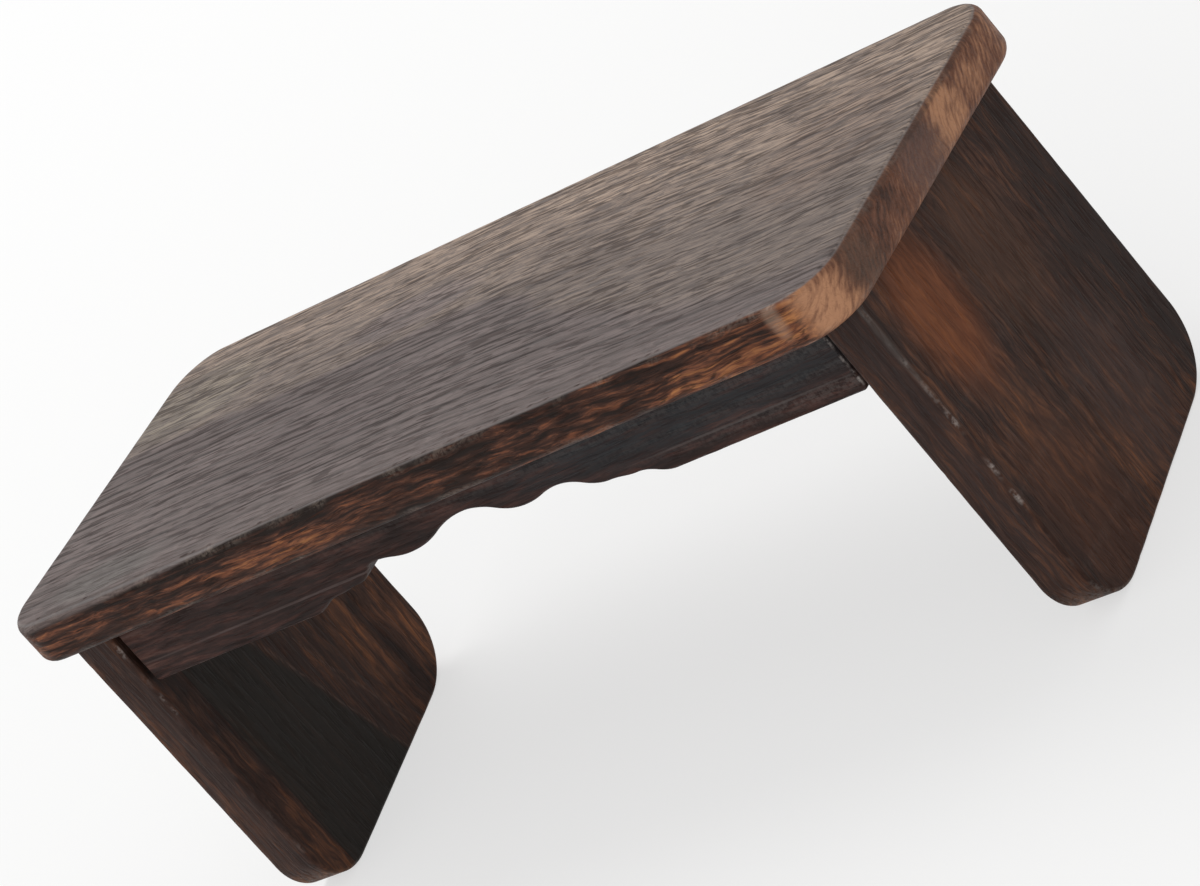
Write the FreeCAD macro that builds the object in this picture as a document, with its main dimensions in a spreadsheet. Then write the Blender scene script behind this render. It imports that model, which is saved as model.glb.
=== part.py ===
import FreeCAD
import Part
import Sketcher
import math
import os
import re

# Folding meditation bench, in millimetres.
# A thick seat board stands on two leg panels that fold inwards under it on butt hinges. A front apron with
# a cupid's-bow lower edge is dowelled under the seat, between the legs.
# The bench stands on its slanted feet, so the seat tilts: its apron side is the higher.
# +Z is up, +X runs along the bench and -Y is the apron side. The origin is on the floor, at the middle of
# the bench's outer box.
# Each piece is first laid out in the seat's own frame: x along the seat, y across it towards the back, z
# up out of the seat, and zero at the middle of the seat's underside.

document = FreeCAD.newDocument("meditation_bench")
sheet = document.addObject("Spreadsheet::Sheet", "Sizes")

sizes = {
    # Seat board
    "seat_length": 440,
    "seat_depth": 170,
    "seat_thickness": 20,
    "seat_corner_radius": 22,
    "seat_edge_round": 3.5,
    # Leg panels. The length is measured down the front edge, from the seat to the foot's sharp corner.
    "leg_thickness": 20,
    "leg_depth": 128,
    "leg_front_length": 149,
    "leg_overhang": 8,
    "leg_front_inset": 18,
    "leg_top_gap": 0.2,
    "foot_slant": 7,
    "foot_front_radius": 20,
    "foot_back_radius": 28,
    "leg_edge_round": 1.6,
    # Apron
    "apron_height": 32.5,
    "apron_thickness": 18,
    "apron_end_gap": 2.5,
    "apron_setback": 2,
    "apron_edge_round": 1,
    "apron_corner_radius": 2,
    # Each curve of the apron's lower edge, from its middle to its straight end: how wide and how high it is.
    # The crown and the lobes beside it are sawn a little off centre, by the bow offset, to the left.
    "bow_offset": 4.2,
    "crown_width": 31,
    "crown_height": 7.3,
    "lobe_width": 18,
    "lobe_height": 2.4,
    "notch_width": 18,
    "notch_height": 6.2,
    "ledge_width": 13,
    "ledge_height": 1.2,
    "step_width": 17,
    "step_height": 4.2,
    # Dowels between the apron and the seat
    "dowel_radius": 3,
    "dowel_pitch": 100,
    "dowel_in_seat": 12,
    "dowel_in_apron": 12,
    "dowel_chamfer": 0.8,
    "dowel_fit": 0.05,
    # Hinge rails, from the apron to near the leg's back edge. The fold clearance is left between the apron
    # and a leg that is folded under it.
    "rail_width": 34,
    "rail_back_inset": 6,
    "rail_leg_gap": 0.5,
    "rail_chamfer": 2.5,
    "fold_clearance": 2.2,
    # Butt hinges, set in from the ends of the rail. The front inset keeps them out of sight behind the apron.
    "hinge_length": 34,
    "hinge_front_inset": 18,
    "hinge_back_inset": 3,
    "leaf_width": 17,
    "leaf_thickness": 1.5,
    "leaf_corner_radius": 2,
    "knuckle_clearance": 0.3,
    "knuckle_end_play": 0.15,
    "pin_radius": 1.5,
    "pin_play": 0.05,
    "pin_chamfer": 0.3,
    # Screws of the leaves. The land is what the countersink leaves of the leaf's thickness.
    "leaf_screw_radius": 1.4,
    "leaf_screw_length": 14,
    "leaf_screw_pitch": 11,
    "leaf_screw_stagger": 2.5,
    "leaf_land": 0.1,
    # Screws of the rails. The bite is how far they reach into the seat.
    "rail_screw_radius": 2,
    "rail_screw_head_radius": 4,
    "rail_screw_pitch": 36,
    "rail_screw_bite": 12,
    # Every screw: the slots in their heads, the flat at their tips and the clearance round them
    "leaf_slot_width": 0.6,
    "leaf_slot_depth": 0.6,
    "rail_slot_width": 1,
    "rail_slot_depth": 1.2,
    "screw_tip_radius": 0.3,
    "screw_fit": 0.05,
}

for row, (alias, value) in enumerate(sizes.items(), start=1):
    sheet.set(f"A{row}", alias)
    sheet.set(f"B{row}", str(value))
    sheet.setAlias(f"B{row}", alias)
document.recompute()

# Counts
knuckle_count = 5
leaf_screw_count = 3
rail_screw_count = 3
dowel_count = 4

# Sizes and places that several pieces share, as formulas of the sizes above
leg_front_y = "(leg_front_inset - seat_depth / 2)"
leg_back_y = f"({leg_front_y} + leg_depth)"
leg_back_length = "(leg_front_length - leg_depth * tan(foot_slant))"
leg_inner_x = "(seat_length / 2 - leg_overhang - leg_thickness)"
apron_front_y = f"({leg_front_y} + apron_setback)"
apron_back_y = f"({apron_front_y} + apron_thickness)"
apron_half_length = f"({leg_inner_x} - apron_end_gap)"
knuckle_radius = "(pin_radius + pin_play + leaf_thickness)"
pin_offset = f"({knuckle_radius} + knuckle_clearance)"
knuckle_length = f"(hinge_length / {knuckle_count})"
rail_height = f"(apron_height + fold_clearance - 2 * {pin_offset})"
rail_outer_x = f"({leg_inner_x} - rail_leg_gap)"
rail_inner_x = f"({rail_outer_x} - rail_width)"
rail_back_y = f"({leg_back_y} - rail_back_inset)"
pin_x = f"({leg_inner_x} - {pin_offset})"
pin_z = f"(-{rail_height} - {pin_offset})"
leaf_screw_head_radius = "(leaf_screw_radius + leaf_thickness - leaf_land)"
screw_head_radii = {"leaf": leaf_screw_head_radius, "rail": "rail_screw_head_radius"}
rail_screw_x = f"(({rail_inner_x} + {pin_x} - leaf_width) / 2)"


def spread(count, pitch):
    """Formulas of places one pitch apart, centred on zero."""
    return [f"({2 * index - count + 1} * {pitch} / 2)" for index in range(count)]


dowel_spots = [(x, f"({apron_front_y} + apron_thickness / 2)") for x in spread(dowel_count, "dowel_pitch")]
rail_screw_ys = [
    f"(({apron_back_y} + {rail_back_y}) / 2 + {y})" for y in spread(rail_screw_count, "rail_screw_pitch")
]
hinge_ys = [
    f"({apron_back_y} + hinge_front_inset + hinge_length / 2)",
    f"({rail_back_y} - hinge_back_inset - hinge_length / 2)",
]

# A leaf's screws: how far each is from the pin, and how far along it from the hinge's middle
leaf_screw_reach = f"(({pin_offset} + leaf_width) / 2)"
leaf_screw_spots = [
    (f"({leaf_screw_reach} {'+' if index % 2 else '-'} leaf_screw_stagger)", along)
    for index, along in enumerate(spread(leaf_screw_count, "leaf_screw_pitch"))
]

# The bench on its feet: how high the middle of the seat's underside is above the floor, and how far back it
# lies from the middle of the outer box, whose front and back are the seat's rounded edges
stand_height = f"(leg_front_length * cos(foot_slant) + {leg_front_y} * sin(foot_slant))"
round_middle_y = "(seat_depth / 2 - seat_edge_round)"
reach_back = (
    f"({round_middle_y} * cos(foot_slant)"
    " + (seat_thickness - seat_edge_round) * sin(foot_slant) + seat_edge_round)"
)
reach_front = f"({round_middle_y} * cos(foot_slant) - seat_edge_round * sin(foot_slant) + seat_edge_round)"
stand_shift = f"(({reach_front} - {reach_back}) / 2)"

# Turns of a piece's own frame in the seat's frame
no_turn = "rotation(vector(0; 0; 1); 0)"
half_turn_about_z = "rotation(vector(0; 0; 1); 180)"
quarter_turn_about_y = "rotation(vector(0; 1; 0); 90)"
half_turn_about_diagonal = "rotation(vector(1; 0; -1); 180)"
lengthways_to_y = "rotation(vector(1; 0; 0); -90)"

side_names = {-1: "left", 1: "right"}
end_names = ["front", "back"]
upwards = FreeCAD.Vector(0, 0, 1)
word = re.compile(r"[a-z_]+")


def number(formula):
    """The value that a formula of the sizes has now."""
    return float(sheet.evalExpression(formula))


def tied(formula):
    """A formula of the sizes, as an object outside the sheet writes it."""
    return word.sub(lambda found: "Sizes." + found[0] if found[0] in sizes else found[0], formula)


def bind(thing, target, formula):
    thing.setExpression(target, tied(formula))


def stand_in_place(piece, x="0", y="0", z="0", turn=no_turn):
    """Puts a piece at its place in the seat's frame, and the seat's frame on the bench's feet."""
    stand = (
        f"placement(vector(0; {stand_shift}; {stand_height});"
        " rotation(vector(1; 0; 0); -foot_slant))"
    )
    bind(piece, "Placement", f"{stand} * placement(vector({x}; {y}; {z}); {turn})")
    return piece


def new_body(label):
    body = document.addObject("PartDesign::Body", label)
    body.Label = label
    return body


def origin_item(body, role):
    return next(item for item in body.Origin.OriginFeatures if item.Role == role)


def new_sketch(body, name, plane, height="0"):
    """A sketch on one of a body's origin planes, or at a height above it."""
    sketch = body.newObject("Sketcher::SketchObject", name)
    sketch.AttachmentSupport = (origin_item(body, plane), [""])
    sketch.MapMode = "FlatFace"
    bind(sketch, "AttachmentOffset.Base.z", height)
    return sketch


def hold_point(sketch, curve, position, x, y):
    """Holds a point of a sketch at the place that two formulas give."""
    for kind, formula in (("DistanceX", x), ("DistanceY", y)):
        held = Sketcher.Constraint(kind, -1, 1, curve, position, number(formula))
        bind(sketch, f"Constraints[{sketch.addConstraint(held)}]", formula)


def hold_radius(sketch, curve, formula):
    held = Sketcher.Constraint("Radius", curve, number(formula))
    bind(sketch, f"Constraints[{sketch.addConstraint(held)}]", formula)


def join(sketch, one, other):
    """Joins two curve ends, each given as (curve, position)."""
    sketch.addConstraint(Sketcher.Constraint("Coincident", *one, *other))


def chain_of_lines(sketch, corners):
    """Lines from corner to corner, joined, each starting at its corner. Returns their numbers."""
    points = [FreeCAD.Vector(number(x), number(y), 0) for x, y in corners]
    lines = [sketch.addGeometry(Part.LineSegment(a, b)) for a, b in zip(points, points[1:])]
    for line, following in zip(lines, lines[1:]):
        join(sketch, (line, 2), (following, 1))
    for line, (x, y) in zip(lines, corners):
        hold_point(sketch, line, 1, x, y)
    return lines


def outlines(body, name, plane, rings, height="0"):
    """Closed outlines of straight lines, each through a ring of corners given by formulas."""
    sketch = new_sketch(body, name, plane, height)
    for corners in rings:
        lines = chain_of_lines(sketch, corners + corners[:1])
        join(sketch, (lines[-1], 2), (lines[0], 1))
    return sketch


def rectangle_corners(low, high):
    (x0, y0), (x1, y1) = low, high
    return [(x0, y0), (x1, y0), (x1, y1), (x0, y1)]


def circles(body, name, plane, centres, radius, height="0"):
    """Circles of one radius, at centres given by formulas."""
    sketch = new_sketch(body, name, plane, height)
    for x, y in centres:
        centre = FreeCAD.Vector(number(x), number(y), 0)
        curve = sketch.addGeometry(Part.Circle(centre, upwards, number(radius)))
        hold_point(sketch, curve, 3, x, y)
        hold_radius(sketch, curve, radius)
    return sketch


def pad(body, name, sketch, length, backwards=False, both_ways=False):
    feature = body.newObject("PartDesign::Pad", name)
    feature.Profile = sketch
    feature.SideType = "Symmetric" if both_ways else "One side"
    feature.Reversed = backwards
    bind(feature, "Length", length)
    document.recompute()
    return feature


def cut(body, kind, name, set_up):
    """Adds a cutting feature that a function sets up, and makes sure that it cut something."""
    document.recompute()
    before = body.Shape.Volume
    feature = body.newObject(kind, name)
    set_up(feature)
    document.recompute()
    if not feature.Shape.Volume < before:
        raise RuntimeError(f"{body.Label}: {name} cuts nothing")


def pocket(body, name, sketch, depth, backwards=False, both_ways=False):
    def set_up(feature):
        feature.Profile = sketch
        feature.SideType = "Symmetric" if both_ways else "One side"
        feature.Reversed = backwards
        bind(feature, "Length", depth)

    cut(body, "PartDesign::Pocket", name, set_up)


def countersunk_holes(body, name, sketch, radius, head_radius, depth):
    """Holes that go up from a sketch, with a right-angled countersink at their mouth."""

    def set_up(feature):
        feature.Profile = sketch
        feature.Reversed = True
        feature.DepthType = "Dimension"
        feature.DrillPoint = "Flat"
        bind(feature, "Diameter", f"2 * ({radius} + screw_fit)")
        bind(feature, "Depth", depth)
        feature.HoleCutType = "Countersink"
        feature.HoleCutCustomValues = True
        feature.HoleCutCountersinkAngle = 90
        bind(feature, "HoleCutDiameter", f"2 * ({head_radius} + screw_fit)")

    cut(body, "PartDesign::Hole", name, set_up)


def near(value, *targets):
    return any(abs(value - target) < 0.001 for target in targets)


def edges_where(shape, test):
    """The names of a shape's edges whose ends and middle pass a test together."""
    names = []
    for index, edge in enumerate(shape.Edges, start=1):
        middle = edge.valueAt((edge.FirstParameter + edge.LastParameter) / 2)
        if test([vertex.Point for vertex in edge.Vertexes] + [middle]):
            names.append(f"Edge{index}")
    return names


def dress(body, kind, name, test, size):
    """A fillet or a chamfer along those edges of the body's last feature that pass a test."""
    base = body.Tip
    names = edges_where(base.Shape, test)
    if not names:
        raise RuntimeError(f"{body.Label}: {name} finds no edge")
    feature = body.newObject(f"PartDesign::{kind}", name)
    feature.Base = (base, names)
    bind(feature, "Radius" if kind == "Fillet" else "Size", size)
    document.recompute()


def seat_board():
    """The seat: a rounded rectangle with soft rims, bored from below for dowels and rail screws."""
    body = new_body("seat_board")
    half_length, half_depth = "seat_length / 2", "seat_depth / 2"
    corners = rectangle_corners((f"-{half_length}", f"-{half_depth}"), (half_length, half_depth))
    pad(body, "plank", outlines(body, "outline", "XY_Plane", [corners]), "seat_thickness")
    end_x, side_y, top_z = number(half_length), number(half_depth), number("seat_thickness")
    at_corners = lambda points: all(near(abs(p.x), end_x) and near(abs(p.y), side_y) for p in points)
    dress(body, "Fillet", "corners", at_corners, "seat_corner_radius")
    at_rims = lambda points: all(near(p.z, 0, top_z) for p in points)
    dress(body, "Fillet", "rims", at_rims, "seat_edge_round")
    dowel_circles = circles(body, "dowel_circles", "XY_Plane", dowel_spots, "(dowel_radius + dowel_fit)")
    pocket(body, "dowel_bores", dowel_circles, "dowel_in_seat + dowel_fit", backwards=True)
    screw_spots = [(f"{side} * {rail_screw_x}", y) for side in side_names for y in rail_screw_ys]
    screw_circles = circles(body, "screw_circles", "XY_Plane", screw_spots, "(rail_screw_radius + screw_fit)")
    pocket(body, "screw_bores", screw_circles, "rail_screw_bite + screw_fit", backwards=True)
    return stand_in_place(body)


def leg(side):
    """A leg panel. Its own x is zero at its inner face, where the hinge leaves are screwed on."""
    body = new_body(f"{side_names[side]}_leg")
    corners = [
        (leg_front_y, "-leg_top_gap"),
        (leg_front_y, "-leg_front_length"),
        (leg_back_y, f"-{leg_back_length}"),
        (leg_back_y, "-leg_top_gap"),
    ]
    outline = outlines(body, "outline", "YZ_Plane", [corners])
    pad(body, "panel", outline, "leg_thickness", backwards=side < 0)
    for name, (y, z), radius in (
        ("foot_front", corners[1], "foot_front_radius"),
        ("foot_back", corners[2], "foot_back_radius"),
    ):
        foot_y, foot_z = number(y), number(z)
        at_foot = lambda points: all(near(p.y, foot_y) and near(p.z, foot_z) for p in points)
        dress(body, "Fillet", name, at_foot, radius)
    outer_x, top_z = side * number("leg_thickness"), number("-leg_top_gap")
    round_the_faces = lambda points: (
        all(near(p.x, 0, outer_x) for p in points) and not all(near(p.z, top_z) for p in points)
    )
    dress(body, "Fillet", "edges", round_the_faces, "leg_edge_round")
    screw_spots = [
        (f"({middle} + {along})", f"({pin_z} - {reach})")
        for middle in hinge_ys
        for reach, along in leaf_screw_spots
    ]
    screw_circles = circles(body, "screw_circles", "YZ_Plane", screw_spots, "(leaf_screw_radius + screw_fit)")
    bite = "leaf_screw_length - leaf_thickness + screw_fit"
    pocket(body, "screw_bores", screw_circles, bite, backwards=side > 0)
    return stand_in_place(body, x=f"{side} * {leg_inner_x}")


def s_curve(sketch, left, right):
    """Two equal arcs between two points, level at both of them and tangent to each other. Returns its left
    and its right end, each as (curve, position)."""
    (x0, y0), (x1, y1) = [(number(x), number(y)) for x, y in (left, right)]
    across, up = x1 - x0, y1 - y0
    radius = (across**2 + up**2) / (4 * abs(up))
    swing = 2 * math.atan2(abs(up), across)
    ends = []
    for x, y, is_left, bends_up in ((x0, y0, True, up > 0), (x1, y1, False, up < 0)):
        centre = FreeCAD.Vector(x, y + radius if bends_up else y - radius, 0)
        level = -math.pi / 2 if bends_up else math.pi / 2
        far = level + swing if is_left == bends_up else level - swing
        circle = Part.Circle(centre, upwards, radius)
        arc = sketch.addGeometry(Part.ArcOfCircle(circle, min(level, far), max(level, far)))
        left_position = 1 if bends_up else 2
        right_position = 3 - left_position
        level_position = left_position if is_left else right_position
        sketch.addConstraint(Sketcher.Constraint("Vertical", arc, 3, arc, level_position))
        ends.append(((arc, left_position), (arc, right_position)))
    (outer_left, inner_left), (inner_right, outer_right) = ends
    sketch.addConstraint(Sketcher.Constraint("Tangent", *inner_left, *inner_right))
    sketch.addConstraint(Sketcher.Constraint("Equal", outer_left[0], outer_right[0]))
    return outer_left, outer_right


def bow_points(side):
    """The level points of the apron's lower edge, from its middle to its straight end at one side. The bow
    offset moves the crown and the lobes, and the notches take it up."""
    x, points = "0", []
    z = "(step_height + ledge_height + notch_height - lobe_height + crown_height - apron_height)"
    points.append((x, z))
    for name, rises in (("crown", False), ("lobe", True), ("notch", False), ("ledge", False), ("step", False)):
        offset = {"crown": "- bow_offset", "notch": "+ bow_offset"}.get(name, "")
        width = f"({side} * {name}_width {offset})"
        x = f"({x} + {width})"
        z = f"({z} {'+' if rises else '-'} {name}_height)"
        points.append((x, z))
    return points


def apron():
    """The apron, drawn whole because its bow is off centre. Its own y is zero at its back."""
    body = new_body("apron")
    sketch = new_sketch(body, "outline", "XZ_Plane")
    levels = bow_points(-1)[:0:-1] + bow_points(1)
    curves = [s_curve(sketch, left, right) for left, right in zip(levels, levels[1:])]
    for (left_end, _), (x, z) in zip(curves, levels):
        hold_point(sketch, *left_end, x, z)
    for (_, right_end), (left_end, _) in zip(curves, curves[1:]):
        join(sketch, right_end, left_end)
    ends = rectangle_corners((f"-{apron_half_length}", "-apron_height"), (apron_half_length, "0"))
    lines = chain_of_lines(sketch, [levels[-1], *ends[1:], ends[0], levels[0]])
    join(sketch, curves[-1][1], (lines[0], 1))
    join(sketch, (lines[-1], 2), curves[0][0])
    pad(body, "board", sketch, "apron_thickness")
    end_x, bottom_z, thickness = number(apron_half_length), -number("apron_height"), number("apron_thickness")
    at_corners = lambda points: all(near(abs(p.x), end_x) and near(p.z, bottom_z) for p in points)
    dress(body, "Fillet", "corners", at_corners, "apron_corner_radius")
    round_the_faces = lambda points: (
        all(near(p.y, 0, -thickness) for p in points) and not all(near(p.z, 0) for p in points)
    )
    dress(body, "Fillet", "edges", round_the_faces, "apron_edge_round")
    spots = [(x, "-apron_thickness / 2") for x, y in dowel_spots]
    dowel_circles = circles(body, "dowel_circles", "XY_Plane", spots, "(dowel_radius + dowel_fit)")
    pocket(body, "dowel_bores", dowel_circles, "dowel_in_apron + dowel_fit")
    return stand_in_place(body, y=apron_back_y)


def hinge_rail(side):
    """The block under the seat that carries one leg's hinges. Its inner lower edge and its ends are chamfered."""
    body = new_body(f"{side_names[side]}_hinge_rail")
    inner, outer = f"{side} * {rail_inner_x}", f"{side} * {rail_outer_x}"
    corners = rectangle_corners((inner, apron_back_y), (outer, rail_back_y))
    outline = outlines(body, "outline", "XY_Plane", [corners])
    pad(body, "block", outline, rail_height, backwards=True)
    inner_x, bottom_z = number(inner), -number(rail_height)
    front_y, back_y = number(apron_back_y), number(rail_back_y)
    lower_edges = lambda points: all(near(p.z, bottom_z) for p in points) and (
        all(near(p.x, inner_x) for p in points)
        or all(near(p.y, front_y) for p in points)
        or all(near(p.y, back_y) for p in points)
    )
    dress(body, "Chamfer", "lower_edges", lower_edges, "rail_chamfer")
    leaf_spots = [
        (f"{side} * ({pin_x} - {reach})", f"({middle} + {along})")
        for middle in hinge_ys
        for reach, along in leaf_screw_spots
    ]
    bottom = f"-{rail_height}"
    leaf_circles = circles(
        body, "leaf_screw_circles", "XY_Plane", leaf_spots, "(leaf_screw_radius + screw_fit)", bottom
    )
    bite = "leaf_screw_length - leaf_thickness + screw_fit"
    pocket(body, "leaf_screw_bores", leaf_circles, bite, backwards=True)
    rail_spots = [(f"{side} * {rail_screw_x}", y) for y in rail_screw_ys]
    rail_circles = circles(
        body, "rail_screw_circles", "XY_Plane", rail_spots, "(rail_screw_radius + screw_fit)", bottom
    )
    countersunk_holes(
        body, "rail_screw_holes", rail_circles, "rail_screw_radius", "rail_screw_head_radius", rail_height
    )
    return stand_in_place(body)


def apron_dowels():
    """The dowels between the apron and the seat, with chamfered ends."""
    body = new_body("apron_dowels")
    ends = circles(body, "ends", "XY_Plane", dowel_spots, "dowel_radius", "-dowel_in_apron")
    pad(body, "dowels", ends, "dowel_in_apron + dowel_in_seat")
    low_z, high_z = -number("dowel_in_apron"), number("dowel_in_seat")
    at_ends = lambda points: all(near(p.z, low_z, high_z) for p in points)
    dress(body, "Chamfer", "end_chamfers", at_ends, "dowel_chamfer")
    return stand_in_place(body)


def hinge_leaf(label, kept_knuckles):
    """A hinge leaf with the knuckles that it keeps. Its own x runs from the pin along the leaf, its y along
    the pin, and its z from the pin to the face that lies against the wood."""
    body = new_body(label)
    bare_z = f"({pin_offset} - leaf_thickness)"
    plate_corners = rectangle_corners(("0", bare_z), ("leaf_width", pin_offset))
    plate_section = outlines(body, "plate_section", "XZ_Plane", [plate_corners])
    pad(body, "plate", plate_section, "hinge_length", both_ways=True)
    barrel_section = circles(body, "barrel_section", "XZ_Plane", [("0", "0")], knuckle_radius)
    pad(body, "barrel", barrel_section, "hinge_length", both_ways=True)
    width, half_length = number("leaf_width"), number("hinge_length / 2")
    at_corners = lambda points: all(near(p.x, width) and near(abs(p.y), half_length) for p in points)
    dress(body, "Fillet", "corners", at_corners, "leaf_corner_radius")
    notches = [
        rectangle_corners(
            (f"-{pin_offset}", f"({knuckle} * {knuckle_length} - hinge_length / 2 - knuckle_end_play)"),
            (pin_offset, f"({knuckle + 1} * {knuckle_length} - hinge_length / 2 + knuckle_end_play)"),
        )
        for knuckle in range(knuckle_count)
        if knuckle not in kept_knuckles
    ]
    notch_outlines = outlines(body, "notch_outlines", "XY_Plane", notches)
    pocket(body, "notches", notch_outlines, f"4 * {pin_offset}", both_ways=True)
    bore_section = circles(body, "bore_section", "XZ_Plane", [("0", "0")], "(pin_radius + pin_play)")
    pocket(body, "pin_bore", bore_section, "2 * hinge_length", both_ways=True)
    mouths = circles(
        body, "screw_mouths", "XY_Plane", leaf_screw_spots, "(leaf_screw_radius + screw_fit)", bare_z
    )
    countersunk_holes(
        body, "screw_holes", mouths, "leaf_screw_radius", leaf_screw_head_radius, "leaf_thickness"
    )
    return body


def hinge_pin(label, middle_y, side):
    """A hinge's pin, as long as the hinge and chamfered at its ends."""
    body = new_body(label)
    section = circles(body, "section", "XZ_Plane", [("0", "0")], "pin_radius")
    pad(body, "pin", section, "hinge_length", both_ways=True)
    half_length = number("hinge_length / 2")
    at_ends = lambda points: all(near(abs(p.y), half_length) for p in points)
    dress(body, "Chamfer", "end_chamfers", at_ends, "pin_chamfer")
    return stand_in_place(body, f"{side} * {pin_x}", middle_y, pin_z)


def hinge(side, end):
    """A butt hinge: a leaf on the rail, a leaf on the leg and a pin."""
    name = f"{side_names[side]}_{end_names[end]}_hinge"
    seat_turn = half_turn_about_z if side > 0 else no_turn
    leg_turn = quarter_turn_about_y if side > 0 else half_turn_about_diagonal
    pieces = [hinge_pin(f"{name}_pin", hinge_ys[end], side)]
    for part, turn, first_knuckle in (("seat_leaf", seat_turn, 0), ("leg_leaf", leg_turn, 1)):
        leaf = hinge_leaf(f"{name}_{part}", range(first_knuckle, knuckle_count, 2))
        pieces.append(stand_in_place(leaf, f"{side} * {pin_x}", hinge_ys[end], pin_z, turn))
    return pieces


def screws(label, kind, plane, height, spots, length, backwards=False):
    """Countersunk screws with a slot in the head and a blunt tip. Their heads lie at a height above a plane."""
    radius, head_radius = f"{kind}_screw_radius", screw_head_radii[kind]
    body = new_body(label)
    shanks = circles(body, "shank_circles", plane, spots, radius, height)
    pad(body, "shanks", shanks, length, backwards)
    normal = FreeCAD.Vector(0, 0, 1) if plane == "XY_Plane" else FreeCAD.Vector(1, 0, 0)
    tip_reach = number(height) + (-1 if backwards else 1) * number(length)
    at_tips = lambda points: all(near(p.dot(normal), tip_reach) for p in points)
    dress(body, "Chamfer", "tips", at_tips, f"{radius} - screw_tip_radius")
    heads = circles(body, "head_circles", plane, spots, head_radius, height)
    cones = pad(body, "heads", heads, f"({head_radius} - {radius})", backwards)
    cones.TaperAngle = -45
    document.recompute()
    half_width = f"{kind}_slot_width / 2"
    slots = [
        rectangle_corners(
            (f"({x} - {head_radius})", f"({y} - {half_width})"),
            (f"({x} + {head_radius})", f"({y} + {half_width})"),
        )
        for x, y in spots
    ]
    slot_outlines = outlines(body, "slot_outlines", plane, slots, height)
    pocket(body, "slots", slot_outlines, f"{kind}_slot_depth", not backwards)
    return stand_in_place(body)


def rail_screws(side):
    spots = [(f"({side} * {rail_screw_x})", y) for y in rail_screw_ys]
    name = f"{side_names[side]}_rail_screws"
    return screws(name, "rail", "XY_Plane", f"-{rail_height}", spots, f"({rail_height} + rail_screw_bite)")


def seat_leaf_screws(side):
    spots = [
        (f"({side} * ({pin_x} - {reach}))", f"({middle} + {along})")
        for middle in hinge_ys
        for reach, along in leaf_screw_spots
    ]
    name = f"{side_names[side]}_seat_leaf_screws"
    return screws(name, "leaf", "XY_Plane", f"(-{rail_height} - leaf_thickness)", spots, "leaf_screw_length")


def leg_leaf_screws(side):
    spots = [
        (f"({middle} + {along})", f"({pin_z} - {reach})")
        for middle in hinge_ys
        for reach, along in leaf_screw_spots
    ]
    name = f"{side_names[side]}_leg_leaf_screws"
    height = f"({side} * ({leg_inner_x} - leaf_thickness))"
    return screws(name, "leaf", "YZ_Plane", height, spots, "leaf_screw_length", side < 0)


def all_pieces():
    pieces = [seat_board(), apron(), apron_dowels()]
    for side in side_names:
        pieces += [hinge_rail(side), rail_screws(side), seat_leaf_screws(side), leg(side), leg_leaf_screws(side)]
        for end in range(len(hinge_ys)):
            pieces += hinge(side, end)
    return pieces


pieces = all_pieces()
document.recompute()

for item in document.Objects:
    if "Invalid" in item.State or "Error" in item.State:
        raise RuntimeError(f"{item.Label} did not recompute")
for piece in pieces:
    if piece.Shape.isNull() or not piece.Shape.isValid():
        raise RuntimeError(f"{piece.Label} has no valid shape")

os.makedirs("parts", exist_ok=True)
for piece in pieces:
    piece.Shape.exportStep(f"parts/{piece.Label}.step")
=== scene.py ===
import math
import random

import bmesh
import bpy
from mathutils import Matrix, Vector, noise
from mathutils.geometry import tessellate_polygon


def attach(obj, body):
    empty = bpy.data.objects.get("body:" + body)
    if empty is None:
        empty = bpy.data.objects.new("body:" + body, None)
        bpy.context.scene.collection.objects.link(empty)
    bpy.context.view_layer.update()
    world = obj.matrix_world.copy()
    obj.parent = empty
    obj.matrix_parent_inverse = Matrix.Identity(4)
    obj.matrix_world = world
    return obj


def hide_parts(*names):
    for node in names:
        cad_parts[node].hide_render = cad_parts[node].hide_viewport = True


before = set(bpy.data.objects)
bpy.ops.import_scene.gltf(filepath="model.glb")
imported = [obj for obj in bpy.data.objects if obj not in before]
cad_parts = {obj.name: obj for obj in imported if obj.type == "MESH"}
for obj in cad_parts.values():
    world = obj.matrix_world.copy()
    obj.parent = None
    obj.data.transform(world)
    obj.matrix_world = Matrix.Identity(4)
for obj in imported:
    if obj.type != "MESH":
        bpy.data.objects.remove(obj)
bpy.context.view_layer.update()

# Where the seat's own frame stands: x along the seat, y to the back, z up out of it, in metres,
# with zero at the middle of its underside. Every plank is drawn there and then put on the bench.
stand = {
    "slant": math.radians(7),
    "undersideHeight": 0.139724,
    "forward": 0.001219,
}
benchFromSeat = Matrix.Translation((0, -stand["forward"], stand["undersideHeight"])) @ Matrix.Rotation(
    -stand["slant"], 4, "X"
)


# Node helpers


def put(tree, kind, inputs=None, **settings):
    node = tree.nodes.new(kind)
    for key, value in settings.items():
        setattr(node, key, value)
    for key, value in (inputs or {}).items():
        if isinstance(value, bpy.types.NodeSocket):
            tree.links.new(value, node.inputs[key])
        else:
            node.inputs[key].default_value = value
    return node


def calc(tree, operation, *values, clamp=False):
    node = put(tree, "ShaderNodeMath", dict(enumerate(values)), operation=operation, use_clamp=clamp)
    return node.outputs[0]


def vectorCalc(tree, operation, *values):
    node = put(tree, "ShaderNodeVectorMath", dict(enumerate(values)), operation=operation)
    return node.outputs["Value" if operation == "LENGTH" else "Vector"]


def grade(tree, value, low, high, start=0.0, end=1.0):
    # low..high of the value becomes start..end, eased and clamped
    inputs = {"Value": value, "From Min": low, "From Max": high, "To Min": start, "To Max": end}
    return put(tree, "ShaderNodeMapRange", inputs, interpolation_type="SMOOTHSTEP").outputs[0]


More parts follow.
